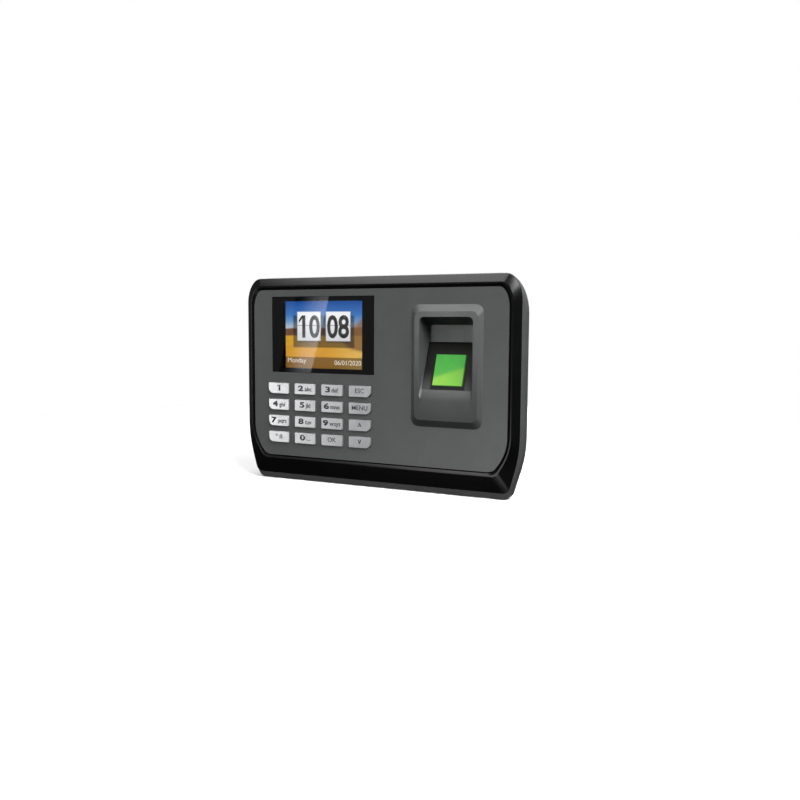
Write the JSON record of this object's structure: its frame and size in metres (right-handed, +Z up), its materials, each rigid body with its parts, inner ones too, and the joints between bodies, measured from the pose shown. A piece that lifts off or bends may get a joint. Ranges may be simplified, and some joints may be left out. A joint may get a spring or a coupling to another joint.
{
  "type": "fingerprint scanner terminal",
  "caption": "Wall-mounted fingerprint terminal: colour display, keypad and hooded optical sensor in a two-part case hung on a steel bracket.",
  "frame": {"origin": "middle of the wall bracket's four screw holes, on the wall", "axes": "+X to the viewer's right along the longest side, +Y into the wall, +Z up"},
  "size_m": [0.194, 0.04, 0.134],
  "materials": {
    "bracket_steel": "zinc plated sheet steel, satin",
    "screw_steel": "zinc plated, satin",
    "bezel_black": "black high-gloss moulding",
    "plate_grey": "dark grey painted moulding with a satin sheen",
    "shell_grey": "dark grey moulding, fine spark texture",
    "window_glass": "clear acrylic, black printed border",
    "foam_black": "closed-cell foam",
    "lcd_glass": "display glass",
    "tray_white": "white moulding",
    "flex_amber": "polyimide film",
    "sensor_black": "black moulding, semi-gloss",
    "green_glass": "polished, lit from behind",
    "board_green": "solder mask",
    "chip_black": "moulded package",
    "led_clear": "clear dome",
    "cable_grey": "flat cable",
    "silicone": "translucent silicone",
    "gold_pad": "gold plated",
    "capacitor_blue": "sleeved can",
    "socket_ivory": "nylon",
    "socket_black": "nylon",
    "socket_white": "nylon",
    "cell_steel": "nickel plated",
    "port_steel": "nickel plated",
    "speaker_black": "paper cone, black frame",
    "lead_red": "insulated wire",
    "key_silver": "silver painted keycap with printed legend"
  },
  "bodies": {
    "bracket": {"wall_bracket": "bracket_steel", "lock_screw": "screw_steel"},
    "case": {"front_bezel": "bezel_black", "front_plate": "plate_grey", "rear_shell": "shell_grey", "case_screws": "screw_steel", "display_window": "window_glass", "window_gasket": "foam_black", "lcd_panel": "lcd_glass", "backlight_tray": "tray_white", "lcd_ribbon": "flex_amber", "sensor_hood": "plate_grey", "sensor_housing": "sensor_black", "prism": "green_glass", "sensor_pcb": "board_green", "sensor_camera": "chip_black", "sensor_leds": "led_clear", "sensor_screws": "screw_steel", "sensor_cable": "cable_grey", "keymat": "silicone", "keypad_pcb": "board_green", "keypad_contacts": "gold_pad", "keypad_cable": "cable_grey", "main_pcb": "board_green", "board_screws": "screw_steel", "processor": "chip_black", "board_chips": "chip_black", "capacitors": "capacitor_blue", "board_sockets": "socket_ivory", "cell_holder": "socket_black", "coin_cell": "cell_steel", "usb_port": "port_steel", "usb_tongue": "socket_white", "dc_jack": "socket_black", "dc_pin": "port_steel", "speaker": "speaker_black", "speaker_ring": "foam_black", "speaker_leads": "lead_red"},
    "key_1_body": {"key_1": "key_silver"},
    "key_2_body": {"key_2": "key_silver"},
    "key_3_body": {"key_3": "key_silver"},
    "key_esc_body": {"key_esc": "key_silver"},
    "key_4_body": {"key_4": "key_silver"},
    "key_5_body": {"key_5": "key_silver"},
    "key_6_body": {"key_6": "key_silver"},
    "key_menu_body": {"key_menu": "key_silver"},
    "key_7_body": {"key_7": "key_silver"},
    "key_8_body": {"key_8": "key_silver"},
    "key_9_body": {"key_9": "key_silver"},
    "key_up_body": {"key_up": "key_silver"},
    "key_star_body": {"key_star": "key_silver"},
    "key_0_body": {"key_0": "key_silver"},
    "key_ok_body": {"key_ok": "key_silver"},
    "key_down_body": {"key_down": "key_silver"}
  },
  "joints": [
    {"name": "case_lift", "type": "slide", "parent": "bracket", "child": "case", "axis": [0, 0, 1], "range_m": [0, 0.006]},
    {"name": "key_1_press", "type": "slide", "parent": "case", "child": "key_1_body", "axis": [0, 1, 0], "range_m": [0, 0.0012], "stiffness_N_per_m": 800, "springref_m": -0.0006, "deforming": ["keymat"]},
    {"name": "key_2_press", "type": "slide", "parent": "case", "child": "key_2_body", "axis": [0, 1, 0], "range_m": [0, 0.0012], "stiffness_N_per_m": 800, "springref_m": -0.0006, "deforming": ["keymat"]},
    {"name": "key_3_press", "type": "slide", "parent": "case", "child": "key_3_body", "axis": [0, 1, 0], "range_m": [0, 0.0012], "stiffness_N_per_m": 800, "springref_m": -0.0006, "deforming": ["keymat"]},
    {"name": "key_esc_press", "type": "slide", "parent": "case", "child": "key_esc_body", "axis": [0, 1, 0], "range_m": [0, 0.0012], "stiffness_N_per_m": 800, "springref_m": -0.0006, "deforming": ["keymat"]},
    {"name": "key_4_press", "type": "slide", "parent": "case", "child": "key_4_body", "axis": [0, 1, 0], "range_m": [0, 0.0012], "stiffness_N_per_m": 800, "springref_m": -0.0006, "deforming": ["keymat"]},
    {"name": "key_5_press", "type": "slide", "parent": "case", "child": "key_5_body", "axis": [0, 1, 0], "range_m": [0, 0.0012], "stiffness_N_per_m": 800, "springref_m": -0.0006, "deforming": ["keymat"]},
    {"name": "key_6_press", "type": "slide", "parent": "case", "child": "key_6_body", "axis": [0, 1, 0], "range_m": [0, 0.0012], "stiffness_N_per_m": 800, "springref_m": -0.0006, "deforming": ["keymat"]},
    {"name": "key_menu_press", "type": "slide", "parent": "case", "child": "key_menu_body", "axis": [0, 1, 0], "range_m": [0, 0.0012], "stiffness_N_per_m": 800, "springref_m": -0.0006, "deforming": ["keymat"]},
    {"name": "key_7_press", "type": "slide", "parent": "case", "child": "key_7_body", "axis": [0, 1, 0], "range_m": [0, 0.0012], "stiffness_N_per_m": 800, "springref_m": -0.0006, "deforming": ["keymat"]},
    {"name": "key_8_press", "type": "slide", "parent": "case", "child": "key_8_body", "axis": [0, 1, 0], "range_m": [0, 0.0012], "stiffness_N_per_m": 800, "springref_m": -0.0006, "deforming": ["keymat"]},
    {"name": "key_9_press", "type": "slide", "parent": "case", "child": "key_9_body", "axis": [0, 1, 0], "range_m": [0, 0.0012], "stiffness_N_per_m": 800, "springref_m": -0.0006, "deforming": ["keymat"]},
    {"name": "key_up_press", "type": "slide", "parent": "case", "child": "key_up_body", "axis": [0, 1, 0], "range_m": [0, 0.0012], "stiffness_N_per_m": 800, "springref_m": -0.0006, "deforming": ["keymat"]},
    {"name": "key_star_press", "type": "slide", "parent": "case", "child": "key_star_body", "axis": [0, 1, 0], "range_m": [0, 0.0012], "stiffness_N_per_m": 800, "springref_m": -0.0006, "deforming": ["keymat"]},
    {"name": "key_0_press", "type": "slide", "parent": "case", "child": "key_0_body", "axis": [0, 1, 0], "range_m": [0, 0.0012], "stiffness_N_per_m": 800, "springref_m": -0.0006, "deforming": ["keymat"]},
    {"name": "key_ok_press", "type": "slide", "parent": "case", "child": "key_ok_body", "axis": [0, 1, 0], "range_m": [0, 0.0012], "stiffness_N_per_m": 800, "springref_m": -0.0006, "deforming": ["keymat"]},
    {"name": "key_down_press", "type": "slide", "parent": "case", "child": "key_down_body", "axis": [0, 1, 0], "range_m": [0, 0.0012], "stiffness_N_per_m": 800, "springref_m": -0.0006, "deforming": ["keymat"]}
  ]
}
